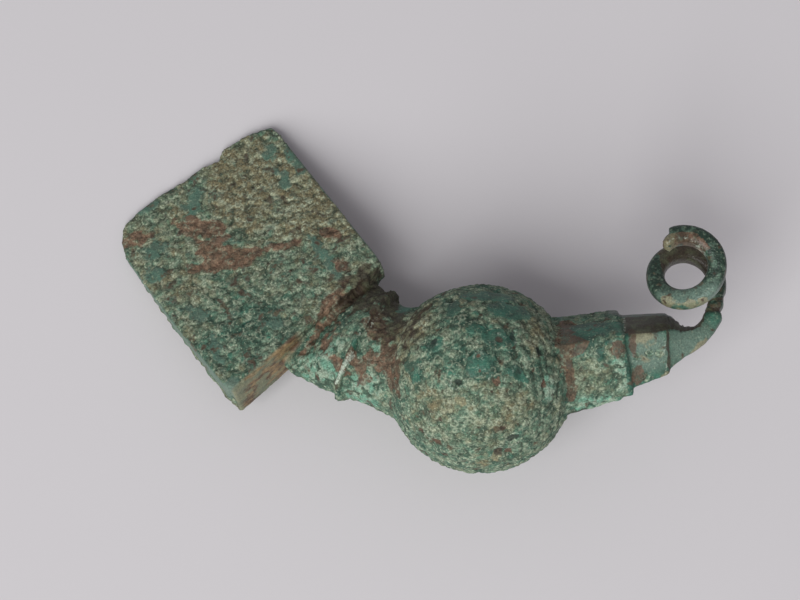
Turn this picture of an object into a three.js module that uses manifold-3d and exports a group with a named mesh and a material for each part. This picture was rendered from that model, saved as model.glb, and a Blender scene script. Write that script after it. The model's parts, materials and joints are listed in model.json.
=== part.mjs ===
// A cast bronze bow brooch (fibula) of the ancient Greek kind, in millimetres.
//
// The whole brooch is one casting: a heavy square catch plate, a short flattened
// stem with one thin raised ring, a big globular bead, a bar that is square in
// section and stands on its edge, and the spring wire that the bar is drawn out
// into. The pin broke off the spring long ago, and so did the edge of the plate
// that was rolled up into its catch.
//
// The forms are laid out in the plane of the bow, with the middle of the bead at
// zero: U runs from the plate to the spring, V runs towards the side on which the
// spring coils, and W stands square to the bow. At the end the brooch is laid
// down as it comes to rest on a table: on the bead and on the plate's broken edge.

import * as THREE from "three";
import { mergeVertices } from "three/addons/utils/BufferGeometryUtils.js";
import Module from "manifold-3d";

// ---------------------------------------------------------------- dimensions

const BEAD_RADIUS = 10.8;
const BEAD_SIDES = 48;

const PLATE_THICK_AT_STEM = 6.6;
const PLATE_THICK_AT_BREAK = 1.3;
const PLATE_ROUNDING = 0.35;
const WORN_BACK = 0.7; // how much of the back is worn away at the corner by the stem
const LOWER_SIDE_LEAN = 0.14; // how far that side leans out, for its height, below the face

const STEM_SIDES = 24;
const RING_PROUD = 0.6;

const BAR_SIDES = 16;
const SQUARE = 6; // power of the section curve that gives a square with soft corners
const ON_EDGE = Math.PI / 4;

const WIRE_RADIAL = 2.1;
const WIRE_AXIAL = 2.3;
const COIL_CENTRE = { u: 24.1, v: 10.15 };
const COIL_RADIUS = 3.5; // to the middle of the wire
const COIL_PITCH = 6.0; // the one turn and a third has been pulled open
const COIL_FOOT_W = -0.3; // where the wire enters the coil, off the plane of the bow
const COIL_END = THREE.MathUtils.degToRad(475);
const COIL_STEPS = 52;
const END_INWARD = 0.5; // how far the free end has sprung inwards
const END_SPAN = THREE.MathUtils.degToRad(120); // and over how much of the last turn

const REST_FLAT = 0.1; // depth of the worn spot under the bead

// ------------------------------------------------------------------- helpers

const degrees = THREE.MathUtils.degToRad;
const wasm = await Module();
wasm.setup();

function toSolid(geometry) {
  const bare = geometry.clone();
  bare.deleteAttribute("normal");
  bare.deleteAttribute("uv");
  const welded = mergeVertices(bare, 1e-4);
  return new wasm.Manifold(new wasm.Mesh({
    numProp: 3,
    vertProperties: new Float32Array(welded.attributes.position.array),
    triVerts: new Uint32Array(welded.index.array),
  }));
}

function toGeometry(solid) {
  const mesh = solid.getMesh();
  const geometry = new THREE.BufferGeometry();
  geometry.setAttribute("position", new THREE.BufferAttribute(mesh.vertProperties, 3));
  geometry.setIndex(new THREE.BufferAttribute(mesh.triVerts, 1));
  geometry.computeVertexNormals();
  return geometry;
}

// One station of a bar: the middle of its section, the direction across it in the
// plane of the bow, its half sizes across and in depth, and the form of its
// outline. A power of 2 gives an ellipse and a high one a square; spin turns it.
function station(u, v, across, halfAcross, halfDepth, { w = 0, power = 2, spin = 0 } = {}) {
  return { u, v, w, across, halfAcross, halfDepth, power, spin };
}

// A closed bar through its stations: a cylinder, with each ring of its points
// moved to a station and given that station's outline.
function bar(stations, sides) {
  const geometry = new THREE.CylinderGeometry(1, 1, 1, sides, stations.length - 1);
  const points = geometry.attributes.position;
  for (let i = 0; i < points.count; i += 1) {
    const ring = Math.round((0.5 - points.getY(i)) * (stations.length - 1));
    const s = stations[ring];
    const rim = Math.hypot(points.getX(i), points.getZ(i));
    const angle = Math.atan2(points.getZ(i), points.getX(i));
    const reach = rim / ((Math.abs(Math.cos(angle)) ** s.power
      + Math.abs(Math.sin(angle)) ** s.power) ** (1 / s.power));
    const a = angle + s.spin;
    const x = reach * Math.cos(a) * s.halfAcross;
    const depth = reach * Math.sin(a) * s.halfDepth;
    points.setXYZ(i, s.u + x * Math.cos(s.across), s.v + x * Math.sin(s.across), s.w + depth);
  }
  return geometry;
}

// -------------------------------------------------------------------- pieces

// The catch plate is a wedge: stout where the stem leaves it, and thin along the
// side that broke away.
const CORNER_BY_STEM = new THREE.Vector2(-11.1, 13.9);
const CORNER_BELOW = new THREE.Vector2(-28.3, -1.2);
const CORNER_FAR = new THREE.Vector2(-43.6, 19.9);
const CORNER_TOP = new THREE.Vector2(-25.3, 34.3);

const SLAB_MIDDLE = 0.4; // of a slab one unit thick, with 0.1 of bevel on both faces

function plate() {
  const outline = new THREE.Shape([
    CORNER_BELOW,
    CORNER_BELOW.clone().lerp(CORNER_BY_STEM, 1 / 3),
    CORNER_BELOW.clone().lerp(CORNER_BY_STEM, 2 / 3),
    CORNER_BY_STEM,
    new THREE.Vector2(-11.6, 14.9),
    new THREE.Vector2(-24.5, 33.5),
    CORNER_TOP,
    // the broken side: two long ragged scallops and the chip between them
    new THREE.Vector2(-28.0, 33.5),
    new THREE.Vector2(-30.4, 32.2),
    new THREE.Vector2(-31.5, 31.4),
    new THREE.Vector2(-31.8, 30.1),
    new THREE.Vector2(-34.1, 29.3),
    new THREE.Vector2(-36.2, 27.5),
    new THREE.Vector2(-38.7, 26.2),
    new THREE.Vector2(-41.7, 23.9),
    new THREE.Vector2(-43.4, 22.0),
    CORNER_FAR,
    new THREE.Vector2(-42.8, 17.6),
    new THREE.Vector2(-36.4, 8.5),
    new THREE.Vector2(-29.6, -0.2),
  ]);
  const slab = new THREE.ExtrudeGeometry(outline, {
    depth: 2 * SLAB_MIDDLE,
    bevelThickness: 0.5 - SLAB_MIDDLE,
    bevelSize: PLATE_ROUNDING,
    bevelOffset: -PLATE_ROUNDING,
    bevelSegments: 2,
  });
  const side = CORNER_BY_STEM.clone().sub(CORNER_BELOW).normalize();
  const inward = new THREE.Vector2(-side.y, side.x);
  const depth = inward.dot(CORNER_TOP.clone().sub(CORNER_BELOW));
  const width = CORNER_BY_STEM.distanceTo(CORNER_BELOW);
  const points = slab.attributes.position;
  for (let i = 0; i < points.count; i += 1) {
    const here = new THREE.Vector2(points.getX(i), points.getY(i)).sub(CORNER_BELOW);
    const towardsBreak = THREE.MathUtils.clamp(inward.dot(here) / depth, 0, 1);
    const thick = THREE.MathUtils.lerp(PLATE_THICK_AT_STEM, PLATE_THICK_AT_BREAK, towardsBreak);
    const along = side.dot(here) / width;
    const z = points.getZ(i) - SLAB_MIDDLE;
    const worn = z < 0 ? WORN_BACK * (1 - towardsBreak) * along ** 2 : 0;
    const level = z * thick * (1 - worn);
    const lean = side.clone().multiplyScalar(LOWER_SIDE_LEAN * Math.min(level, 0));
    points.setXYZ(i, points.getX(i) + lean.x, points.getY(i) + lean.y, level);
  }
  return slab;
}

// The stem leaves the plate as a broad flat root, deepens to a stout oval, carries
// one thin ring, and runs into the bead while the bow's line turns level.
function stem() {
  const across = (turn) => degrees(90 - turn);
  return bar([
    station(-19.2, 9.6, across(43), 6.9, 1.4),
    station(-17.2, 7.4, across(42), 7.6, 1.7),
    station(-16.5, 6.9, across(40), 7.3, 2.6),
    station(-15.4, 6.1, across(36), 7.0, 3.9),
    station(-14.2, 5.4, across(31), 6.8, 4.8),
    station(-13.7, 5.1, across(30), 6.75, 4.9),
    station(-13.45, 4.95, across(29.5), 6.75 + RING_PROUD, 4.9 + RING_PROUD),
    station(-13.0, 4.6, across(29), 6.7 + RING_PROUD, 4.9 + RING_PROUD),
    station(-12.7, 4.35, across(29), 6.4, 4.8),
    station(-11.0, 3.45, across(22), 6.2, 4.7),
    station(-9.4, 2.7, across(14), 6.5, 5.2),
    station(-7.6, 2.0, across(10), 7.0, 6.0),
  ], STEM_SIDES);
}

function bead() {
  return new THREE.SphereGeometry(BEAD_RADIUS, BEAD_SIDES, BEAD_SIDES / 2).rotateX(Math.PI / 2);
}

// The bar is square, with an edge to the front: a long collar against the bead,
// one step down to a shorter block, and a tongue that tapers, twists flat and
// turns up to a neck with two grooves, where the spring wire begins.
function barAndSpring() {
  const corner = 2 ** (1 / 2 - 1 / SQUARE); // how far a soft corner reaches
  const onEdge = (u, v, turn, half, spin = ON_EDGE) => station(
    u, v, degrees(90 + turn), half / corner, half / corner, { power: SQUARE, spin });
  const flat = (u, v, turn, halfAcross, halfDepth) => station(
    u, v, degrees(90 + turn), halfAcross, halfDepth, { power: SQUARE });
  const stations = [
    onEdge(7.5, 0.9, 9, 6.3),
    onEdge(9.6, 1.1, 9, 6.05),
    onEdge(16.5, 2.3, 8, 5.38),
    onEdge(16.75, 2.35, 8, 5.25),
    onEdge(16.85, 2.4, 7, 4.55),
    onEdge(21.2, 3.05, 1, 3.85),
    onEdge(21.6, 3.1, 0, 3.7),
    onEdge(21.7, 3.25, 0, 3.3),
    onEdge(22.1, 3.4, 0, 3.15, degrees(43)),
    onEdge(22.7, 3.3, 0, 2.65, degrees(40)),
    onEdge(23.4, 3.3, 0, 2.15, degrees(36)),
    onEdge(24.5, 3.5, 6, 1.75, degrees(28)),
    onEdge(25.4, 4.0, 18, 1.5, degrees(20)),
    onEdge(26.2, 4.9, 36, 1.35, degrees(10)),
    flat(26.9, 6.2, 64, 1.1, 1.15),
    flat(27.0, 6.9, 74, 0.8, 1.0),
    flat(27.2, 7.5, 76, 0.95, 1.1),
    flat(27.35, 8.1, 76, 0.95, 1.1),
    flat(27.45, 8.5, 78, 0.75, 1.0),
    flat(27.6, 9.2, 86, 0.95, 1.1),
  ];
  for (let step = 0; step <= COIL_STEPS; step += 1) {
    const angle = COIL_END * step / COIL_STEPS;
    stations.push(coilStation(angle, 0, WIRE_RADIAL / 2));
  }
  // the wire tore in two steps: its outer half first, then the inner tongue
  stations.push(coilStation(COIL_END + degrees(4), 0.3, WIRE_RADIAL * 0.32));
  stations.push(coilStation(COIL_END + degrees(18), 0.4, WIRE_RADIAL * 0.3));
  stations.push(coilStation(COIL_END + degrees(32), 0.5, WIRE_RADIAL * 0.24));
  return bar(stations, BAR_SIDES);
}

// The spring climbs out of the plane of the bow as it winds. Over the last third
// of a turn the wire lies a little further in.
function coilStation(angle, inset, halfRadial) {
  const last = THREE.MathUtils.smoothstep(angle, COIL_END - END_SPAN, COIL_END);
  const radius = COIL_RADIUS - END_INWARD * last - inset;
  return station(
    COIL_CENTRE.u + radius * Math.cos(angle),
    COIL_CENTRE.v + radius * Math.sin(angle),
    Math.PI + angle,
    halfRadial,
    WIRE_AXIAL / 2,
    { w: COIL_FOOT_W + COIL_PITCH * angle / (2 * Math.PI), power: 4 },
  );
}

// ------------------------------------------------------------ laid on a table

// Straight up from the table, seen from the plane of the bow: the direction in
// which the bead's underside and two points of the broken side are equally low.
function tableUp(first, second, depth) {
  const across = new THREE.Vector3().crossVectors(first, second);
  const inSpan = new THREE.Vector3().subVectors(second, first).cross(across)
    .multiplyScalar(-depth / across.lengthSq());
  const rest = Math.sqrt(1 - inSpan.lengthSq());
  return inSpan.add(across.normalize().multiplyScalar(rest * Math.sign(across.z)));
}

const restDepth = BEAD_RADIUS - REST_FLAT;
const farTouch = new THREE.Vector3(CORNER_FAR.x, CORNER_FAR.y, -PLATE_THICK_AT_BREAK / 2);
const topTouch = new THREE.Vector3(CORNER_TOP.x, CORNER_TOP.y, -PLATE_THICK_AT_BREAK / 2);
const up = tableUp(farTouch, topTouch, restDepth);
const lie = new THREE.Matrix4().makeRotationFromQuaternion(
  new THREE.Quaternion().setFromUnitVectors(up, new THREE.Vector3(0, 0, 1)));
lie.premultiply(new THREE.Matrix4().makeTranslation(0, 0, restDepth));

const table = new THREE.BoxGeometry(200, 200, 20).translate(0, 0, -10);

let casting = toSolid(bead().applyMatrix4(lie));
for (const piece of [plate(), stem(), barAndSpring()]) {
  casting = casting.add(toSolid(piece.applyMatrix4(lie)));
}
casting = casting.subtract(toSolid(table));

const geometry = toGeometry(casting);
geometry.computeBoundingBox();
const middle = geometry.boundingBox.getCenter(new THREE.Vector3());

const bronze = new THREE.MeshStandardMaterial({ color: 0x5f7a66, roughness: 0.85, metalness: 0.15 });
const fibula = new THREE.Mesh(geometry, bronze);
fibula.name = "fibula";
fibula.position.set(-middle.x, -middle.y, 0);

const brooch = new THREE.Group();
brooch.add(fibula);

export default brooch;
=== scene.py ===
# %% [markdown]
# # A broken bow brooch of corroded bronze
# The brooch is one bronze casting that lay in the ground for a very long time: a
# square catch plate, a ringed stem, a globular bead, a square bar and the start of
# its spring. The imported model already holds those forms, so this lesson only adds
# what burial did to them: a knobbly crust, smooth green patina between the knobs,
# brown soil in the hollows, pits, and the wear of the broken edges.

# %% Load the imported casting
import json
from math import atan2, copysign, cos, radians, sin, sqrt

import bpy
import numpy as np
from mathutils import Matrix, Vector


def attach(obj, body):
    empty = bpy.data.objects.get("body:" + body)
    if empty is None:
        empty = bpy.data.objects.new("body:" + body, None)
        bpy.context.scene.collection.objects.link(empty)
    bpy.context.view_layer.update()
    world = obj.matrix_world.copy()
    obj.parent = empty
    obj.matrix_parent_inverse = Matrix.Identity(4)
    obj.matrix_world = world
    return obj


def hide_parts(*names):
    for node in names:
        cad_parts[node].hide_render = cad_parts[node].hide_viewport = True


MM = 0.001
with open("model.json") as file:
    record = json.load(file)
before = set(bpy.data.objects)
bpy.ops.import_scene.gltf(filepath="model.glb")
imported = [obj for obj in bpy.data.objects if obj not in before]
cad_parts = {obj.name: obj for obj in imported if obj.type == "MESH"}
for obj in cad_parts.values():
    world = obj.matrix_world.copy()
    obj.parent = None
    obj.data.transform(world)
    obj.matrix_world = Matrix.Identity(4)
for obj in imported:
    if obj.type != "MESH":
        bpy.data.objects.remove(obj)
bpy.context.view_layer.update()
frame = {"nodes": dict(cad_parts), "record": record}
casting = frame["nodes"]["fibula"]

# %% [markdown]
# ## The bow's own axes
# Everything on the brooch is easiest to place in the plane of the bow, with the
# middle of the bead at zero: u runs from the plate to the spring, v towards the
# side where the spring coils, and w squarely out of the bow. The brooch lies on its
# bead and on two points of the plate's broken side, so those three points give the
# turn between the bow's axes and the table's. The record's rest mount is the bead's
# touching point, which gives the middle of the bead.

# %% Work out the turn and the middle of the bead
BEAD_RADIUS = 10.8
WORN_FLAT = 0.1
REST_DEPTH = BEAD_RADIUS - WORN_FLAT
PLATE_AT_BREAK = 1.3
FAR_TOUCH = Vector((-43.6, 19.9, -PLATE_AT_BREAK / 2))
TOP_TOUCH = Vector((-25.3, 34.3, -PLATE_AT_BREAK / 2))


def table_up(first, second, depth):
    """Straight up from the table, in the bow's axes."""
    across = first.cross(second)
    in_span = (second - first).cross(across) * (-depth / across.length_squared)
    rest = sqrt(1 - in_span.length_squared)
    return in_span + across.normalized() * copysign(rest, across.z)


up_in_bow = table_up(FAR_TOUCH, TOP_TOUCH, REST_DEPTH)
bow_to_table = up_in_bow.rotation_difference(Vector((0, 0, 1))).to_matrix()
BOW_AXES = np.array(bow_to_table)

mount = frame["record"]["mounts"][0]["pos_m"]
bead_middle = Vector((mount[0], mount[1], REST_DEPTH * MM))
print("middle of the bead, mm:", [round(c / MM, 2) for c in bead_middle])


def in_bow(points):
    """Points in the table's axes, in metres, as u, v, w in millimetres."""
    return (points - np.array(bead_middle)) / MM @ BOW_AXES


# %% [markdown]
# ## The camera
# The brooch is seen from almost straight above, from a little towards the viewer's
# side, through a short telephoto lens. The camera is placed from the middle of the
# bead, so that it stays right if the casting is packed again.

# %% Set up the camera
ELEVATION = radians(78)
AZIMUTH = radians(-0.8)
LENS = 85
CAMERA_AWAY = 217.2
CAMERA_LEFT = 9.2
CAMERA_ABOVE = 9.03

back = Vector((sin(AZIMUTH) * cos(ELEVATION), -cos(AZIMUTH) * cos(ELEVATION), sin(ELEVATION)))
right = Vector((cos(AZIMUTH), sin(AZIMUTH), 0))
above = back.cross(right)
camera = bpy.data.objects.new("camera", bpy.data.cameras.new("camera"))
camera.data.lens = LENS
camera.data.clip_start = 0.01
bpy.context.scene.collection.objects.link(camera)
bpy.context.scene.camera = camera
offset = back * CAMERA_AWAY - right * CAMERA_LEFT + above * CAMERA_ABOVE
turned = Matrix((right, above, back)).transposed().to_4x4()
camera.matrix_world = Matrix.Translation(bead_middle + offset * MM) @ turned
print("camera height, mm:", round(camera.matrix_world.translation.z / MM, 1))

# %% [markdown]
# ## An even skin
# The crust needs a surface whose points lie about as close as its smallest knobs,
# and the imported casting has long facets. A voxel remesh gives the same closed form
# again in even squares, small enough for the knobs and yet under two hundred
# thousand triangles. Voxels leave stair steps on slanting faces, so every point is
# then drawn back to the nearest place on the casting, which keeps its edges crisp,
# and a touch of smoothing takes the hardness off.

# %% Remesh the casting
SKIN_VOXEL = 0.245


def applied(piece):
    """Makes the piece's modifiers part of its mesh."""
    shown = piece.evaluated_get(bpy.context.evaluated_depsgraph_get())
    mesh = bpy.data.meshes.new_from_object(shown)
    piece.modifiers.clear()
    piece.data = mesh


skin = bpy.data.objects.new("corroded_casting", casting.data.copy())
skin.data.materials.clear()
bpy.context.scene.collection.objects.link(skin)
remesh = skin.modifiers.new("even squares", "REMESH")
remesh.mode = "VOXEL"
remesh.voxel_size = SKIN_VOXEL * MM
draw_back = skin.modifiers.new("back to the casting", "SHRINKWRAP")
draw_back.target = casting
soften = skin.modifiers.new("soften", "SMOOTH")
soften.factor = 0.5
soften.iterations = 2
bpy.context.view_layer.update()
applied(skin)
triangles = sum(len(face.vertices) - 2 for face in skin.data.polygons)
print("skin points:", len(skin.data.vertices), "triangles:", triangles)

# %% [markdown]
# ## Where each kind of corrosion lies
# Burial did not treat the brooch evenly. Some parts grew a thick crust, some kept a
# smooth green patina, soil stayed in the corners, and pale verdigris bloomed on the
# stem. Each of these is one number for every point of the skin, stored as a mesh
# attribute, and set by a few soft blots placed in the bow's axes. The colours read all
# of them and the relief reads the crust and the patina, so a bare patch is bare in both.

# %% The skin's points in the bow's axes
place = in_bow(np.array([corner.co for corner in skin.data.vertices]))
u, v, w = place.T
normals = np.zeros(3 * len(place), np.float32)
skin.data.vertex_normals.foreach_get("vector", normals)
facing_u, facing_v, facing_w = (normals.reshape(-1, 3) @ BOW_AXES).T
kept_place = skin.data.attributes.new("bow_place", "FLOAT_VECTOR", "POINT")
kept_place.data.foreach_set("vector", place.astype(np.float32).ravel())
print("skin from", place.min(axis=0).round(1).tolist(), "to", place.max(axis=0).round(1).tolist())


# %% Blots, masks and humps
def ease(low, high, value):
    """0 below low, 1 above high, and a smooth rise between."""
    t = np.clip((value - low) / (high - low), 0, 1)
    return t * t * (3 - 2 * t)


def blot(middle, size, turn=0):
    """1 in the middle of an oval blot, 0 at its rim and down to -1 well outside."""
    off = place - np.array(middle)
    c, s = cos(radians(turn)), sin(radians(turn))
    along = off[:, 0] * c + off[:, 1] * s
    aside = off[:, 1] * c - off[:, 0] * s
    reach = (along / size[0]) ** 2 + (aside / size[1]) ** 2 + (off[:, 2] / size[2]) ** 2
    return np.clip(1 - reach, -1, 1)


def inside(mask):
    """A mask of 0 to 1 as a field like a blot's, so that it too gets a ragged rim."""
    return 2 * mask - 1


def most(*fields):
    """The highest of several fields at each point."""
    return np.max(fields, axis=0)


def away(middle):
    """The distance of each point from a place, in mm."""
    return np.linalg.norm(place - np.array(middle), axis=1)


def hump(distance, reach):
    """1 at no distance, and nearly nothing at twice the reach."""
    return np.exp(-(distance / reach) ** 2)


def keep(name, value):
    """Stores one number a point on the skin, for the relief and the finish to read."""
    attribute = skin.data.attributes.new(name, "FLOAT", "POINT")
    attribute.data.foreach_set("value", np.asarray(value, np.float32))
    print(f"{name:10s} from {value.min():5.2f} to {value.max():5.2f}")


# %% [markdown]
# ## The parts of the one casting
# The brooch is one piece of metal, but its parts corroded in their own ways. They
# could be cut into separate meshes, which would leave seams in the crust. A mask that
# is worked out from where a point lies, 1 on the part and 0 off it, leaves the skin
# whole and can fade out softly.

# %% Masks of the plate, stem, bead and bar
NEAR_CORNER = Vector((-28.3, -1.2))
CORNER_BY_STEM = Vector((-11.1, 13.9))
LOWER_SIDE = (CORNER_BY_STEM - NEAR_CORNER).normalized()
LOWER_TURN = atan2(LOWER_SIDE.y, LOWER_SIDE.x)
COLLAR_END = 16.8
STEP_END = 21.3
beyond_side = (v - NEAR_CORNER.y) * LOWER_SIDE.x - (u - NEAR_CORNER.x) * LOWER_SIDE.y
on_plate = ease(-0.6, -0.1, beyond_side) * ease(-9.5, -10.5, u)
on_wall = on_plate * ease(0.5, 0.1, beyond_side) * ease(-17, -19, u + 0.5 * v)
on_stem = (1 - on_plate) * ease(-8.8, -9.4, u)
from_bead = np.sqrt(u ** 2 + v ** 2 + w ** 2)
on_bead = ease(11.6, 11.2, from_bead) * ease(-9.9, -9.5, u) * ease(9.9, 9.5, u)
on_coil = ease(5.6, 6.4, v) * ease(14, 16, u)
on_bar = ease(9.6, 10.0, u) * (1 - on_coil)
on_collar = on_bar * ease(COLLAR_END + 0.1, COLLAR_END - 0.1, u)
on_step = (on_bar - on_collar) * ease(STEP_END + 0.1, STEP_END - 0.1, u)
on_tongue = on_bar - on_collar - on_step
upper_side = ease(0.15, 0.4, facing_v)
plate_rim = on_plate * ease(0.7, 1.1, beyond_side) * ease(0.75, 0.4, facing_w)
plate_rim = plate_rim * ease(-0.8, -0.4, w)
parts = {"plate": on_plate, "stem": on_stem, "bead": on_bead, "bar": on_bar, "spring": on_coil}
print("points on each part:", {name: int(mask.sum()) for name, mask in parts.items()})

# %% Masks of the spring and its neck
COIL_MIDDLE = (24.1, 10.15)
GROOVES = (6.5, 7.8)
GROOVE_REACH = 0.22
from_coil = np.hypot(u - COIL_MIDDLE[0], v - COIL_MIDDLE[1])
last_turn_inner = on_coil * ease(5.0, 5.6, w) * ease(3.3, 2.9, from_coil) * ease(10.9, 11.5, v)
coil_hollow = on_coil * ease(4.4, 3.8, w) * ease(20.9, 21.6, u) * ease(10.0, 10.8, v)
on_neck = on_bar * ease(25.4, 25.8, u) + on_coil * ease(3.2, 2.6, w) * ease(25.4, 25.8, u)
on_neck = on_neck * ease(4.6, 5.2, v) * ease(9.4, 8.8, v)
neck_grooves = on_neck * most(*(hump(v - groove, GROOVE_REACH) for groove in GROOVES))
print("points in the neck's grooves:", int((neck_grooves > 0.5).sum()))

# %% [markdown]
# ## The ring round the stem
# One thin ring runs round the stem, cut in the wax before the brooch was cast, with
# two fine threads above it. Only a short crest of the ring still stands clear of the
# crust, between a worn gap and its dark foot. Loops of their own would lie on the
# stem like wire, so these are humps of height, measured along the stem from the
# ring's middle and up round it.

# %% Masks of the ring
RING_MIDDLE = (-13.2, 4.8)
RING_AXIS = (0.870, -0.492)
past_ring = (u - RING_MIDDLE[0]) * RING_AXIS[0] + (v - RING_MIDDLE[1]) * RING_AXIS[1]
up_ring = (v - RING_MIDDLE[1]) * RING_AXIS[0] - (u - RING_MIDDLE[0]) * RING_AXIS[1]
ring_front = on_stem * ease(-0.1, 0.3, facing_w)
crest_line = past_ring - 0.5 - 0.15 * np.minimum(up_ring + 2.9, 0)
crest = ring_front * hump(crest_line, 0.3) * ease(-2.3, -2.7, up_ring) * ease(-6.6, -6.2, up_ring)
thread = ring_front * ease(-1.2, -0.6, up_ring) * most(
    hump(past_ring - 0.3, 0.17) * ease(2.4, 1.8, up_ring),
    hump(past_ring - 0.8, 0.17) * ease(0.4, 0.9, up_ring) * ease(4.2, 3.6, up_ring))
ring_gap = ring_front * blot((-13.9, 2.9, 5.2), (1.1, 0.7, 2.0), 60)
ring_foot = ring_front * blot((-16.5, -0.9, 2.4), (0.9, 0.9, 1.4))
print("points on the ring's crest:", int((crest > 0.5).sum()))

# %% [markdown]
# ## Nodules and pits
# Where the crust is thin, round nodules stand alone, and where a knob fell out, it
# left a pit with a rusty or a dark bottom. They could be scattered at random, but the
# eye finds them first, so each has its own place, and a loop gives every one the
# form of its kind: a hump or a hollow, with a rim round it.

# %% Place the nodules and pits
NODULES = [
    (13.9, 2.2, 5.4), (14.0, 1.35, 5.3), (12.9, 0.7, 5.1), (14.9, 0.8, 4.8), (15.6, 4.8, 3.5),
    (15.6, 2.7, 5.1), (19.4, 0.95, 2.8), (20.65, 1.0, 2.5), (18.05, 0.5, 2.9), (-12.4, 1.2, 4.5),
    (19.0, -1.1, 0.7)]
NODULE_RADIUS = 0.42
PITS = [
    # middle, radius, depth and how rusty, from 0 to 1
    ((2.8, -4.1, 9.6), 0.7, 0.35, 0.9), ((1.0, -1.3, 10.6), 0.45, 0.2, 0.8),
    ((3.3, 0.6, 10.2), 0.6, 0.15, 0.35), ((7.8, -3.6, 6.5), 0.5, 0.3, 0.9),
    ((-4.6, -8.9, 4.0), 0.75, 0.4, 0.5), ((4.1, -9.0, 4.3), 0.75, 0.5, 0.1),
    ((2.3, -10.0, 3.2), 0.75, 0.4, 0.3), ((3.3, -9.9, 2.7), 0.6, 0.4, 0.5),
    ((-6.3, -7.5, 4.5), 0.6, 0.3, 0.4), ((-1.5, -4.0, 9.9), 0.6, 0.4, 0.0),
    ((1.1, -3.0, 10.3), 0.4, 0.2, 0.5), ((5.6, -1.6, 9.1), 0.5, 0.1, 0.6),
    ((-4.2, 1.0, 9.9), 0.6, 0.35, 0.0), ((4.6, 1.2, 9.6), 0.7, 0.3, 0.0),
    ((7.5, 0.1, 7.7), 0.55, 0.3, 0.0), ((5.4, -2.9, 8.9), 0.7, 0.3, 0.0),
    ((-2.4, 6.5, 8.2), 0.6, 0.3, 0.0)]

nodule_rim = np.zeros(len(u))
nodule_height = np.zeros(len(u))
for middle in NODULES:
    d = away(middle)
    nodule_rim = np.maximum(nodule_rim, hump(d - NODULE_RADIUS, 0.17))
    nodule_height = np.maximum(nodule_height, hump(d, NODULE_RADIUS * 1.5))

pit = np.zeros(len(u))
pit_rim = np.zeros(len(u))
pit_depth = np.zeros(len(u))
pit_rust = np.zeros(len(u))
for middle, radius, depth, rust in PITS:
    d = away(middle)
    pit = np.maximum(pit, hump(d, radius))
    pit_rim = np.maximum(pit_rim, hump(d - 1.25 * radius, 0.2))
    pit_depth = np.maximum(pit_depth, hump(d, radius) * depth)
    pit_rust = np.maximum(pit_rust, hump(d, radius * 1.5) * rust)
print("nodules:", len(NODULES), "pits:", len(PITS))

# %% [markdown]
# ## Smooth patina
# The first corrosion is a thin, smooth green skin that keeps the form of the metal.
# It still shows where no crust grew on it or where the crust flaked off: in patches
# on the plate and the bead, and all over the step, the tongue and the spring. The
# patches could be painted by hand, but ovals with ragged rims are quicker to move.

# %% Where the crust is missing
bare_patches = most(
    # the plate
    blot((-23.4, 26.8, 1.4), (0.9, 2.2, 1.5), 25),
    blot((-21.8, 28.9, 1.3), (0.9, 3.6, 1.5), 35),
    blot((-25.3, 30.5, 1.0), (1.6, 1.4, 1.5)),
    blot((-18.0, 15.6, 2.7), (0.8, 4.4, 1.5), 35),
    blot((-34.9, 24.0, 0.9), (1.3, 2.6, 1.5), -20),
    blot((-38.9, 18.4, 1.1), (1.6, 1.5, 1.5)),
    blot((-38.8, 15.2, 1.3), (1.3, 1.4, 1.5)),
    blot((-33.4, 9.4, 2.1), (2.6, 0.9, 1.5), -25),
    blot((-23.5, 7.1, 3.0), (1.4, 0.8, 1.5)),
    blot((-30.4, 18.7, 1.6), (2.4, 0.7, 1.5), -10),
    blot((-30.6, 4.4, 2.8), (0.7, 3.0, 1.5), 20),
    blot((-40.6, 24.0, 0.6), (1.8, 0.8, 1.5), 30),
    # the bead
    blot((-3.9, 0.5, 10.0), (1.2, 0.9, 1.5)),
    blot((-1.8, 4.9, 9.4), (0.9, 1.5, 1.5)),
    blot((3.4, 0.9, 10.3), (2.6, 1.1, 1.5)),
    blot((4.6, 4.6, 8.6), (3.4, 1.4, 1.8)),
    blot((1.1, -2.2, 10.4), (1.9, 1.7, 1.5), 30),
    blot((5.2, -3.0, 8.9), (1.5, 0.8, 1.5), -25),
    blot((2.7, 6.8, 8.0), (4.2, 1.0, 1.8)),
    blot((-6.7, -1.4, 8.3), (0.9, 1.9, 1.6), 20) * 0.4,
    blot((0.6, 1.8, 10.5), (1.1, 0.8, 1.5)) * 0.7)
patina = most(
    (0.5 + 0.6 * on_bead) * bare_patches,
    # the plate's bare rims and its nearest corner
    inside(plate_rim) + 0.2,
    blot((-28.4, -0.4, 2.4), (1.2, 1.4, 2.4)),
    # the collar's upper side and the bay in the crust below its edge
    inside(on_collar * upper_side * ease(5.0, 4.4, v)) + 0.2,
    blot((13.6, 1.0, 4.9), (2.6, 1.5, 1.6)),
    blot((15.9, 1.3, 4.9), (1.3, 1.5, 1.6)),
    # the step's face, the tongue, the spring and the gap in the ring
    inside(on_step + on_tongue + on_coil) + 0.2,
    inside(ring_gap.clip(0)))
keep("patina", patina - 1.6 * nodule_height)

# %% Where the smooth patina is greyer, and where it covers the spring
tone = np.clip(most(
    0.45 * on_plate,
    blot((19.6, 1.0, 3.0), (3.0, 2.8, 3.4)) * 1.6,
    blot((24.0, 2.8, 1.0), (4.6, 3.4, 3.4)) * 1.3,
    plate_rim * 0.9,
    blot((-28.4, -0.6, 2.2), (1.6, 1.6, 2.4)) * 1.5,
    on_coil * ease(8.4, 6.8, v) * ease(3.4, 4.4, w)), 0, 1)
keep("tone", tone)
keep("coil", on_coil)

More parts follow.
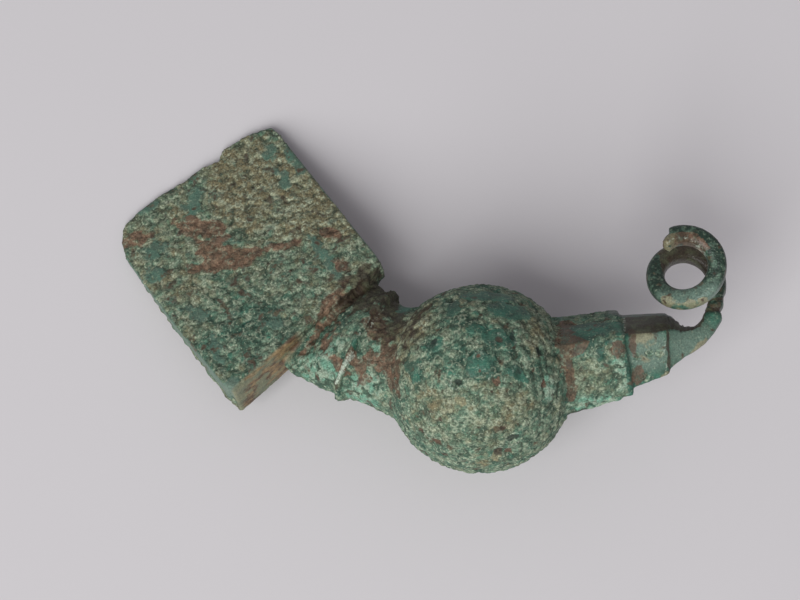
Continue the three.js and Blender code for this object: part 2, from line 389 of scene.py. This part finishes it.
# %% [markdown]
# ## Soil, grime, painted shade and bloom
# Brown soil stayed across the plate and in the corners, and pale verdigris bloomed on the
# stem. Dark grime mixed with painted shade lies on the upper sides of the stem, step,
# tongue and bead, in the hollow beside the plate, inside the spring and in the neck's
# grooves. They are as thin as stains, so they need no relief of their own, only masks
# for the colours. What is left of soil and of the shade all over is a low value, which
# shows only in deep gaps, where the dark is painted shade.

# %% Soil and rust-brown stains
soil = most(
    # two stains across the plate, and one in its far corner
    blot((-33.4, 20.8, 1.2), (4.2, 1.5, 1.5), -22),
    blot((-31.6, 17.6, 1.8), (2.6, 2.2, 1.5), -30),
    blot((-29.8, 16.0, 1.8), (5.0, 1.5, 1.5), 8),
    blot((-23.6, 17.2, 2.2), (3.6, 0.6, 1.5), 8) * 0.6,
    blot((-41.9, 20.0, 0.8), (2.2, 1.2, 1.5), 20) * 0.7,
    blot((-17.3, 18.3, 2.5), (1.3, 0.9, 1.5), -20),
    blot((-16.1, 14.3, 2.9), (0.8, 1.2, 1.5), 20),
    # where the plate meets the stem, and both sides of the ring
    blot((-16.0, 9.6, 1.8), (1.6, 4.0, 2.6), -42),
    blot((-18.6, 6.4, 1.8), (0.6, 4.6, 2.6), -42) * 0.6,
    blot((-15.9, 1.3, 4.0), (0.7, 2.2, 2.0), 35) * 0.8,
    blot((-13.6, 0.9, 4.2), (0.9, 2.8, 2.8), 32),
    blot((-11.6, 1.2, 4.6), (1.1, 1.8, 1.8), 60),
    blot((-11.2, 5.2, 4.6), (1.6, 2.2, 2.4), 20) * 0.9,
    blot((-17.0, 5.0, 3.2), (2.2, 1.3, 2.0), 30) * 0.4,
    blot((-9.6, 0.6, 5.4), (1.3, 4.6, 3.2), 12) * 0.9,
    # beside the bead on the collar, and on its edges
    blot((10.1, 1.6, 5.2), (1.0, 3.4, 3.2)),
    blot((10.7, 1.4, 5.8), (2.0, 1.5, 1.6)),
    blot((10.4, 4.9, 3.0), (1.2, 1.2, 1.6)),
    blot((10.5, -1.8, 3.2), (0.7, 3.4, 3.2), 8) * 0.9,
    blot((16.0, 1.2, 4.6), (1.0, 1.4, 1.4), 30) * 0.7,
    # on the step
    blot((17.7, 1.9, 3.9), (0.5, 2.2, 1.6), 8) * 0.8,
    blot((18.1, -1.0, 1.3), (1.0, 1.2, 1.6)),
    # the inner half of the spring's last turn, and its torn end
    inside(last_turn_inner * ease(22.2, 23.4, u)) - 0.4,
    blot((21.4, 12.4, 7.6), (0.6, 1.4, 2.6)) * 0.7,
    # what is left in the gaps of the crust
    -0.35 - 0.3 * on_bead)
keep("soil", soil)

# %% Grime and painted shade on the upper sides, in the hollows and in the grooves
shade_and_grime = most(
    # painted shade with some grime: the stem's upper half, the step's and tongue's upper facets, the
    # bead's upper side, the hollow and the spring's inside are darkened
    inside(on_stem * ease(1.6, 3.4, up_ring) * ease(-18.5, -17, u)) * 0.6,
    blot((-13.6, 11.4, 1.4), (3.4, 2.6, 3.6), 40) * 1.2,
    blot((-12.0, 8.6, 2.4), (2.8, 2.0, 3.6), 30),
    blot((-9.8, 5.2, 4.8), (2.4, 3.0, 3.2)) * 0.8,
    blot((-7.2, 4.4, 6.6), (3.4, 4.6, 4.0)) * 0.5 - 0.2,
    inside((on_step + on_tongue) * upper_side * ease(2.6, 3.2, v)) * 1.2,
    inside(on_bar * hump(u - STEP_END - 0.3, 0.2) * ease(4.0, 3.4, v) * ease(0, 0.3, facing_w)) * 0.8,
    inside(coil_hollow) * 1.2,
    inside(neck_grooves) + 0.2,
    inside(on_neck * ease(0.2, 0.7, -facing_u)),
    blot((27.4, 10.4, 6.6), (0.8, 3.0, 2.4)) * 0.15 - 0.25,
    inside(ring_foot.clip(0)) * 0.8,
    inside(on_bead * ease(0.85, 1.0, facing_v)) - 0.9,
    -0.3 - 0.3 * on_bead)
keep("shade_and_grime", shade_and_grime)

# %% Pale verdigris and tan crust
verdigris = most(
    blot((-15.9, 3.4, 3.9), (1.8, 0.9, 1.6), 10),
    blot((-17.2, 1.4, 2.8), (2.6, 1.8, 2.4), -30),
    blot((-19.6, 2.0, 1.4), (2.4, 1.6, 2.0), -30) * 0.9,
    blot((-12.6, -1.2, 3.0), (2.2, 1.7, 2.4), -20),
    blot((-13.4, -2.4, 1.2), (3.0, 0.9, 2.0), -30),
    blot((-11.0, 2.4, 4.6), (1.2, 0.8, 1.6)) * 0.8,
    blot((-9.8, 2.8, 5.0), (0.5, 0.6, 1.2)),
    blot((8.2, -3.7, 5.9), (0.9, 1.7, 2.0)) * 0.7,
    blot((16.0, -1.6, 2.6), (1.0, 2.4, 2.4)) * 0.7,
    0.6 * blot((14.0, -3.8, 0.4), (5.4, 1.2, 2.4)))
keep("verdigris", verdigris)

tan = most(
    blot((18.6, 2.4, 4.0), (1.4, 0.9, 1.2)),
    blot((19.6, 0.8, 3.0), (2.0, 1.6, 1.8)) * 0.5 - 0.4,
    blot((22.2, 6.2, 4.4), (1.6, 0.6, 1.6), -20) * 0.6,
    blot((24.8, 5.9, 4.9), (2.2, 0.3, 1.4), 8) * 0.5,
    inside(last_turn_inner * ease(24.2, 22.8, u)) - 0.3,
    blot((24.9, 1.7, 0.6), (2.2, 0.7, 1.2), 45),
    blot((-1.4, -5.8, 9.0), (1.2, 0.8, 1.5), -20) - 0.55,
    blot((1.5, -10.2, 2.2), (1.8, 0.6, 1.5)) - 0.65,
    blot((22.0, -0.4, -0.4), (2.4, 0.6, 1.2), 30) * 0.5,
    -0.4 - 0.2 * on_bead)
keep("tan", tan)

# %% Cool and warm crust, and how much crust each part has
cool = most(
    0.8 * blot((-0.8, -0.8, 10.4), (8.6, 4.0, 5.0)),
    0.4 * blot((-27.0, 6.0, 2.6), (8.0, 5.5, 4.0)),
    np.zeros(len(u)))
warmth = np.clip(0.3 + 0.2 * on_plate - cool + most(
    0.9 * blot((-27.0, 26.4, 1.0), (8.0, 6.5, 4.0), -30),
    0.7 * blot((-19.0, 21.0, 2.0), (6.0, 5.0, 4.0), -40),
    0.1 * blot((-37.0, 17.0, 2.0), (6.0, 8.0, 4.0)),
    0.3 * blot((0.0, -6.5, 7.4), (9.0, 5.0, 6.0)) - 0.05,
    0.6 * blot((-7.0, 3.0, 7.0), (4.0, 5.0, 5.0)),
    0.3 * blot((7.4, 3.0, 7.0), (3.0, 5.0, 5.0)) - 0.05,
    0.4 * blot((12.6, -1.6, 3.4), (3.0, 2.0, 3.0)),
    np.full(len(u), -0.3)), 0, 1)
keep("warmth", warmth)

keep("wall", on_wall)
keep("wall_foot", on_wall * ease(-24.0, -28.0, u))
keep("dry_soil", on_plate + 0.8 * on_stem)
crust = on_plate * (1 - 0.8 * on_wall) + on_bead + 0.9 * on_stem + 0.9 * on_bar
keep("crust", np.clip(crust, 0, 1))

# %% [markdown]
# ## Carved, torn and pitted details
# Some relief is not crust at all: the ring and its threads, the neck's grooves, the
# torn upper edge of the tongue, the hollow beside the plate, the nodules and the pits.
# Each could be cut with a boolean, but they are only tenths of a millimetre high or
# deep, so they are added up as one height for each point, which moves with the crust.

# %% Add up the carving
CREST_HEIGHT = 0.24
THREAD_HEIGHT = 0.12
CREST_UNDERCUT = 0.2
GAP_DEPTH = 0.15
NODULE_HEIGHT = 0.1
NODULE_RIM_HEIGHT = 0.05
PIT_RIM_HEIGHT = 0.06
TEAR_DEPTH = 0.28
HOLLOW_DEPTH = 0.5
GROOVE_DEPTH = 0.14

tear = on_bar * upper_side * ease(21.6, 22.0, u) * ease(25.0, 24.4, u)
ragged_break = tear * np.abs(np.sin(6.3 * u) * np.sin(2.3 * u + 1.0))
hollow = blot((-13.9, 11.4, 0.6), (1.6, 1.6, 2.4)).clip(0)
behind_crest = ring_front * hump(past_ring + 0.2, 0.25) * ease(0.4, -0.6, up_ring)

carving = CREST_HEIGHT * crest + THREAD_HEIGHT * thread
carving = carving - CREST_UNDERCUT * behind_crest - GAP_DEPTH * ring_gap.clip(0)
carving = carving + NODULE_HEIGHT * nodule_height + NODULE_RIM_HEIGHT * nodule_rim
carving = carving + PIT_RIM_HEIGHT * pit_rim - pit_depth
carving = carving - TEAR_DEPTH * ragged_break - HOLLOW_DEPTH * hollow
carving = carving - GROOVE_DEPTH * neck_grooves
keep("carving", carving)
keep("pit", pit)
keep("rust", pit_rust)

# %% Chalky edges where the crust has worn pale, partly painted highlights on crests and edges
collar_rim = on_bar * hump(u - COLLAR_END, 0.2) * upper_side
step_rim = on_bar * hump(u - STEP_END + 0.1, 0.16) * ease(0, 0.3, facing_w) * ease(3.6, 3.2, v)
coil_edge = on_coil * ease(5.0, 5.6, w) * hump(from_coil - 2.3, 0.14) * ease(10.6, 11.2, v)
keep("chalk_and_highlight", most(
    0.8 * crest,
    0.4 * thread,
    0.25 * nodule_rim,
    0.3 * pit_rim,
    0.42 * collar_rim,
    0.42 * step_rim,
    0.4 * coil_edge))

# %% [markdown]
# ## Node trees written as sums
# The relief is worked out by a geometry node tree and the colours by a material,
# and both must see the same knobs. So each formula is a Python function that can
# wire itself into either tree. A small class stands for a value inside a tree and
# turns +, - and * into Math nodes, and one method makes every other kind of node.

# %% A value in a node tree
class Strand:
    """One value in a node tree. Sums with it add Math nodes."""

    def __init__(self, tree, socket=None):
        self.tree = tree
        self.socket = socket

    def node(self, kind, settings=None, sockets=None, out=0):
        """Adds a node, settings first, and returns one of its outputs."""
        made = self.tree.nodes.new(kind)
        for name, value in (settings or {}).items():
            setattr(made, name, value)
        for key, value in (sockets or {}).items():
            if isinstance(value, Strand):
                self.tree.links.new(value.socket, made.inputs[key])
            else:
                made.inputs[key].default_value = value
        return Strand(self.tree, made.outputs[out]) if made.outputs else None

    def sibling(self, out):
        """Another output of the same node."""
        return Strand(self.tree, self.socket.node.outputs[out])

    def maths(self, operation, first, second):
        """One Math node on two values or numbers."""
        return self.node("ShaderNodeMath", {"operation": operation}, {0: first, 1: second})

    def __add__(self, other):
        return self.maths("ADD", self, other)

    def __radd__(self, other):
        return self.maths("ADD", other, self)

    def __sub__(self, other):
        return self.maths("SUBTRACT", self, other)

    def __rsub__(self, other):
        return self.maths("SUBTRACT", other, self)

    def __mul__(self, other):
        return self.maths("MULTIPLY", self, other)

    def __rmul__(self, other):
        return self.maths("MULTIPLY", other, self)

    def rise(self, low, high):
        """0 below low, 1 above high, and a smooth rise between."""
        return self.node("ShaderNodeMapRange", {"interpolation_type": "SMOOTHSTEP"},
                         {"Value": self, "From Min": low, "From Max": high})

    def over(self, under, colour):
        """A colour laid over another where this value is 1. Sockets 6 and 7 take the colours."""
        return self.node("ShaderNodeMix", {"data_type": "RGBA"},
                         {0: self, 6: under, 7: colour}, out=2)


def shade(red, green, blue):
    """A colour from the 0 to 255 values that a colour chart gives."""
    linear = [((c / 255 + 0.055) / 1.055) ** 2.4 for c in (red, green, blue)]
    return (*linear, 1.0)


# %% [markdown]
# ## Knobs, lumps and ragged rims
# A crust of bronze corrosion grows as little knobs that press against each other,
# which is just what cells round scattered points look like, so a Voronoi texture
# gives them. A blot's soft rim is made ragged by adding noise to it before it is
# cut off.

# %% Formulas that both trees share
KNOB = 0.78
LUMP = 1.9
FRAY_SIZE = 1.3
FRAY = 3.0


def noise(start, where, size, detail=2.0, out=0):
    """Noise between about 0.2 and 0.8 whose patches are of that size in mm."""
    return start.node("ShaderNodeTexNoise", {"noise_dimensions": "3D"},
                      {"Vector": where, "Scale": 1 / size, "Detail": detail}, out)


def shaken(start, where, size, reach):
    """Places moved at random, so that what is laid out there is less regular."""
    push = start.node("ShaderNodeVectorMath", {"operation": "SUBTRACT"},
                      {0: noise(start, where, size, out="Color"), 1: (0.5, 0.5, 0.5)})
    push = start.node("ShaderNodeVectorMath", {"operation": "SCALE"}, {0: push, "Scale": reach})
    return start.node("ShaderNodeVectorMath", {"operation": "ADD"}, {0: where, 1: push})


def knob_cells(start, where, size):
    """How far a point is from the middle of its knob, in knobs. Color is the knob's own."""
    return start.node("ShaderNodeTexVoronoi", {"feature": "F1"},
                      {"Vector": shaken(start, where, size * 1.3, size * 0.7), "Scale": 1 / size})


def ragged(start, field, where):
    """A blot's field cut off along a ragged rim: 1 inside and 0 outside."""
    fray = noise(start, where, FRAY_SIZE, 5.0) - 0.5
    return (field + fray * FRAY).rise(-0.05, 0.35)


print("knobs about", KNOB, "mm across, lumps about", LUMP)


# %% [markdown]
# ## The relief
# The knobs stand up from the skin along its normals. A geometry node modifier moves
# the points, and is applied, so the crust is real mesh. Smooth patches sink a little
# below the crust round them, as they do where it has flaked away. The height is kept
# as an attribute too, because soil settles in what lies low, and the painted shade
# is deepest there.

# %% Grow the crust
KNOB_HEIGHT = 0.22
LUMP_HEIGHT = 0.16
CRUST_SINK = 0.18  # so that knobs and gaps lie evenly about the casting's own surface
FLAW_HEIGHT = 0.08
RUBBLE_HEIGHT = 0.3
SMOOTH_SINK = 0.9  # how much of the crust's relief a smooth patch loses

relief = bpy.data.node_groups.new("crust relief", "GeometryNodeTree")
for way in ("INPUT", "OUTPUT"):
    relief.interface.new_socket("Geometry", in_out=way, socket_type="NodeSocketGeometry")
start = Strand(relief)


def read_on_mesh(name, kind="FLOAT"):
    """A number or a place that is kept on the skin."""
    return start.node("GeometryNodeInputNamedAttribute", {"data_type": kind}, {"Name": name})


where = read_on_mesh("bow_place", "FLOAT_VECTOR")
cells = knob_cells(start, where, KNOB)
lumps = knob_cells(start, where, LUMP)
bare = ragged(start, read_on_mesh("patina"), where)
covered = read_on_mesh("crust") * (1 - bare * SMOOTH_SINK)
knobs = (1 - cells).rise(0.1, 0.9)
swells = (1 - lumps).rise(0.1, 0.9)
uneven = noise(start, where, 2.2, 4.0) - 0.5
growth = knobs * KNOB_HEIGHT + swells * LUMP_HEIGHT - CRUST_SINK
rubble = noise(start, where, 0.8, 4.0) - 0.5
height = covered * (growth + rubble * RUBBLE_HEIGHT) + uneven * FLAW_HEIGHT * (0.4 + covered)
normal = start.node("GeometryNodeInputNormal")
offset = start.node("ShaderNodeVectorMath", {"operation": "SCALE"},
                    {0: normal, "Scale": (height + read_on_mesh("carving")) * MM})
moved = start.node("GeometryNodeSetPosition", None,
                   {"Geometry": start.node("NodeGroupInput"), "Offset": offset})
kept = start.node("GeometryNodeStoreNamedAttribute", {"data_type": "FLOAT", "domain": "POINT"},
                  {"Geometry": moved, "Name": "height", "Value": height})
start.node("NodeGroupOutput", None, {"Geometry": kept})
print("nodes in the relief:", len(relief.nodes))

# %% Move the skin's points
skin.modifiers.new("crust relief", "NODES").node_group = relief
applied(skin)
heights = np.zeros(len(skin.data.vertices), np.float32)
skin.data.attributes["height"].data.foreach_get("value", heights)
print("relief, mm, lowest, middle and highest:",
      np.percentile(heights, (1, 50, 99)).round(2).tolist())

# %% [markdown]
# ## Nothing below the table
# Knobs under the bead or on the broken side would push through the table that the
# brooch lies on, so those points are lifted back to it.

# %% Level the underside
points = np.array([corner.co for corner in skin.data.vertices])
print("lowest knob, mm:", round(points[:, 2].min() / MM, 3))
points[:, 2] = np.maximum(points[:, 2], 0)
skin.data.vertices.foreach_set("co", points.ravel())
skin.data.shade_smooth()

# %% [markdown]
# ## The finish of buried bronze
# The material lays its colours in the order in which they formed: dark green patina
# on the metal, then the crust of knobs, each a little different in colour and paler
# along its rim, then the soil and the bloom of verdigris. Roughness and a fine bump
# follow the same masks.

# %% Colours of the patina, crust and soil, and of the painted shade and highlights
DEEP_TEAL = shade(38, 74, 60)
TEAL = shade(56, 112, 92)
GREY_TEAL = shade(98, 122, 108)
COIL_GREEN = shade(32, 54, 42)
COIL_WORN = shade(88, 114, 96)
GREEN_CRUST = shade(102, 128, 106)
OLIVE_CRUST = shade(120, 113, 84)
PALE_CRUST = shade(162, 170, 142)
# Pale knob rims, also the colour of the painted glints
PALE_RIM_AND_GLINT = shade(168, 180, 154)
GAP = shade(54, 64, 50)
SOIL = shade(122, 94, 74)
DARK_SOIL = shade(84, 66, 50)
VERDIGRIS = shade(112, 162, 138)
PALE_VERDIGRIS = shade(158, 178, 156)
# Pale chalk, also the colour of the painted highlights
PALE_CHALK_AND_HIGHLIGHT = shade(186, 200, 182)
TAN = shade(158, 146, 112)
# Grime mixed with painted shade, in brown and in olive
BROWN_SHADE_AND_GRIME = shade(62, 50, 38)
GREEN_SHADE_AND_GRIME = shade(80, 80, 58)
PIT_RED = shade(106, 72, 56)
PIT_DARK = shade(36, 46, 40)
WALL_OCHRE = shade(146, 124, 88)
WALL_BROWN = shade(90, 68, 48)
WALL_GREEN = shade(118, 132, 108)

# %% Start the material
bronze = bpy.data.materials.new("buried bronze")
bronze.use_nodes = True
tree = bronze.node_tree
shader = tree.nodes["Principled BSDF"]
ink = Strand(tree)


def read(name, out="Fac"):
    """A number or a place that is kept on the skin."""
    return ink.node("ShaderNodeAttribute", {"attribute_name": name}, None, out)


def feed(socket, value):
    """Links a value to the shader."""
    tree.links.new(value.socket, shader.inputs[socket])


where = read("bow_place", "Vector")
height = read("height")
cells = knob_cells(ink, where, KNOB)
fine_cells = knob_cells(ink, where, KNOB * 0.45)
grit = noise(ink, where, 0.2, 3.0)
mottle = noise(ink, where, 0.9, 4.0)
clouds = noise(ink, where, 3.2, 4.0)
warmth = read("warmth")
coil = read("coil")
bare = ragged(ink, read("patina"), where)
covered = read("crust") * (1 - bare * 0.85)
print("smallest knobs in the colours, mm:", round(KNOB * 0.45, 2))

# %% Each knob's own colour, pale rims and dark gaps
own = ink.node("ShaderNodeSeparateColor", None, {0: cells.sibling("Color")})
warm_share = own * 0.3 + (mottle - 0.5) * 1.1 + (clouds - 0.5) * 1.6 + warmth * 0.9
crust_colour = warm_share.rise(0.15, 1.0).over(GREEN_CRUST, OLIVE_CRUST)
teal_share = noise(ink, where, 1.4, 5.0).rise(0.46, 0.68) * (1.1 - warmth)
crust_colour = (teal_share * 0.85).over(crust_colour, TEAL)
deep_share = noise(ink, where, 2.0, 5.0).rise(0.43, 0.6) * (1 - warmth * 1.5).rise(0, 1)
pale_share = own.sibling("Green") * 0.8 + (mottle - 0.5) * 1.2
pale_knobs = pale_share.rise(0.55, 0.9) * (0.45 + warmth * 0.25)
crust_colour = pale_knobs.over(crust_colour, PALE_CRUST)
crust_colour = (deep_share * 0.8).over(crust_colour, DEEP_TEAL)
rims = cells.rise(0.3, 0.45) * (1 - cells.rise(0.5, 0.68))
rims = rims * noise(ink, where, 1.2, 3.0).rise(0.42, 0.62)
crust_colour = (rims * 0.6).over(crust_colour, PALE_RIM_AND_GLINT)
gap_colour = (clouds.rise(0.4, 0.6) * (1.2 - warmth)).over(GAP, DEEP_TEAL)
crust_colour = (cells.rise(0.6, 0.85) * 0.75).over(crust_colour, gap_colour)
crust_colour = (fine_cells.rise(0.45, 0.8) * 0.4).over(crust_colour, GAP)
# Painted glints: fine pale specks of highlight over the crust
painted_glints = noise(ink, where, 0.3, 2.0).rise(0.58, 0.7) * 0.6
crust_colour = painted_glints.over(crust_colour, PALE_RIM_AND_GLINT)
print("nodes so far:", len(tree.nodes))

# %% The smooth patina, and the crust over it
patina_colour = noise(ink, where, 1.5, 5.0).rise(0.35, 0.65).over(DEEP_TEAL, TEAL)
coil_colour = noise(ink, where, 0.7, 6.0).rise(0.47, 0.71).over(COIL_GREEN, COIL_WORN)
patina_colour = coil.over(patina_colour, coil_colour)
patina_colour = read("tone").over(patina_colour, GREY_TEAL)
# Painted glints on the smooth patina as well, at half strength
patina_colour = (painted_glints * 0.5).over(patina_colour, PALE_RIM_AND_GLINT)
colour = covered.over(patina_colour, crust_colour)
print("nodes so far:", len(tree.nodes))

# %% [markdown]
# ## Bloom, stains and soil on top
# What came last is laid over the rest: the bloom of verdigris on top of the knobs, tan
# crust, the streaks of the plate's near side, then soil, and grime with painted shade,
# which fill what lies low first, and chalk with painted highlights. Each could be a
# material of its own, but one material keeps the rims ragged and shared, as they are on
# the bronze. A fine speckle over all of it stands for grains too small to model.

# %% Verdigris, tan crust and the plate's streaked side
bloom = ragged(ink, read("verdigris") - cells.rise(0.45, 0.75) * 0.9, where)
bloom_colour = mottle.rise(0.4, 0.6).over(VERDIGRIS, PALE_VERDIGRIS)
colour = (bloom * 0.65).over(colour, bloom_colour)
colour = (ragged(ink, read("tan"), where) * 0.55).over(colour, TAN)
layers = ink.node("ShaderNodeMapping", {"vector_type": "POINT"},
                  {"Vector": where, "Rotation": (0, 0, -LOWER_TURN), "Scale": (0.12, 1.0, 1.3)})
wall_colour = noise(ink, layers, 1.0, 5.0).rise(0.38, 0.62).over(WALL_BROWN, WALL_OCHRE)
wall_streaks = (noise(ink, layers, 1.2, 4.0) - 0.5) * 0.8
wall_green = (clouds + wall_streaks + read("wall_foot") * 0.2).rise(0.5, 0.72)
wall_colour = (wall_green * 0.7).over(wall_colour, WALL_GREEN)
colour = read("wall").over(colour, wall_colour)

# %% Soil, grime with painted shade, pits, and chalk with painted highlights
soil_share = noise(ink, where, 0.9, 5.0) + read("dry_soil") * 0.14
soil_colour = soil_share.rise(0.42, 0.72).over(DARK_SOIL, SOIL)
earth = ragged(ink, read("soil") - height * 1.8, where)
colour = (earth * (0.85 - rims * 0.4)).over(colour, soil_colour)
# Grime and painted shade: the upper sides, the hollows and what lies low are darkened
shade_and_grime = ragged(ink, read("shade_and_grime") - height * 1.5, where)
colour = (shade_and_grime * 0.85).over(colour, mottle.rise(0.45, 0.65).over(BROWN_SHADE_AND_GRIME, GREEN_SHADE_AND_GRIME))
pit_colour = read("rust").rise(0.1, 0.6).over(PIT_DARK, PIT_RED)
colour = (ragged(ink, read("pit") * 1.6 - 0.9, where) * 0.8).over(colour, pit_colour)
# Chalk and painted highlights: pale worn crust, and painted highlight on the ring's crest and on the
# edges
chalk_and_highlight_share = (read("chalk_and_highlight") + (noise(ink, where, 0.4, 4.0) - 0.5) * 2.2).rise(0.2, 0.9) * 0.75
colour = (chalk_and_highlight_share * read("chalk_and_highlight").rise(0.05, 0.3)).over(colour, PALE_CHALK_AND_HIGHLIGHT)

# %% Speckle
speckle = ink.node("ShaderNodeMapRange", None,
                   {"Value": grit, "From Min": 0.3, "From Max": 0.7, "To Min": 0.5, "To Max": 1.5})
colour = ink.node("ShaderNodeMix", {"data_type": "RGBA", "blend_type": "MULTIPLY"},
                  {0: 0.45 + coil * 0.35 + covered * 0.55, 6: colour, 7: speckle}, out=2)

# %% Connect the finish
feed("Base Color", colour)
feed("Roughness", 0.5 + covered * 0.35 - coil * 0.14)
grain = grit - fine_cells * covered * 0.5 - cells * covered * 1.6
feed("Normal", ink.node("ShaderNodeBump", None,
                        {"Strength": 0.8, "Distance": 0.1 * MM, "Height": grain}))
skin.data.materials.append(bronze)
print("nodes in the finish:", len(tree.nodes))

# %% [markdown]
# ## The skin takes the casting's place
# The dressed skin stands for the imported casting, which is hidden and stays as the
# solid that collides. Nothing on the brooch moves, so the skin rides on the root.

# %% Ride and replace
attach(skin, "root")
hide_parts("fibula")
print(skin.name, "stands for", casting.name)

# %% [markdown]
# ## Floor and light
# The brooch lies on a pale, plain sheet. One broad soft light stands in front and to
# the left, half-way up, as a window would, and a faint sky fills in the shadows. A
# bare lamp would be simpler, but its hard shadows would hide the low relief.

# %% Floor
FLOOR_SIDE = 2.0
PAPER = shade(213, 211, 212)
PAPER_ROUGHNESS = 0.9

floor = bpy.data.objects.new("floor", bpy.data.meshes.new("floor"))
half = FLOOR_SIDE / 2
corners = [(-half, -half, 0), (half, -half, 0), (half, half, 0), (-half, half, 0)]
floor.data.from_pydata(corners, [], [(0, 1, 2, 3)])
bpy.context.scene.collection.objects.link(floor)
paper = bpy.data.materials.new("pale sheet")
paper.use_nodes = True
paper_shader = paper.node_tree.nodes["Principled BSDF"]
paper_shader.inputs["Base Color"].default_value = PAPER
paper_shader.inputs["Roughness"].default_value = PAPER_ROUGHNESS
floor.data.materials.append(paper)
print("floor, m:", FLOOR_SIDE, "square")

# %% Lights
SKY_COLOUR = (0.97, 0.92, 1.0, 1.0)
SKY_STRENGTH = 0.3
WINDOW_SIDE = 1.0
WINDOW_WATTS = 14.2
WINDOW_PLACE = Vector((-0.4, -0.75, 0.84))

sky = bpy.data.worlds.new("pale sky")
sky.use_nodes = True
glow = sky.node_tree.nodes["Background"].inputs
glow["Color"].default_value = SKY_COLOUR
glow["Strength"].default_value = SKY_STRENGTH
bpy.context.scene.world = sky
bpy.context.scene.view_settings.view_transform = "Standard"

window = bpy.data.objects.new("window", bpy.data.lights.new("window", "AREA"))
window.data.size = WINDOW_SIDE
window.data.energy = WINDOW_WATTS
window.location = WINDOW_PLACE
window.rotation_euler = (-WINDOW_PLACE).to_track_quat("-Z", "Y").to_euler()
bpy.context.scene.collection.objects.link(window)
print("window, m away:", round(WINDOW_PLACE.length, 2), "watts:", WINDOW_WATTS)
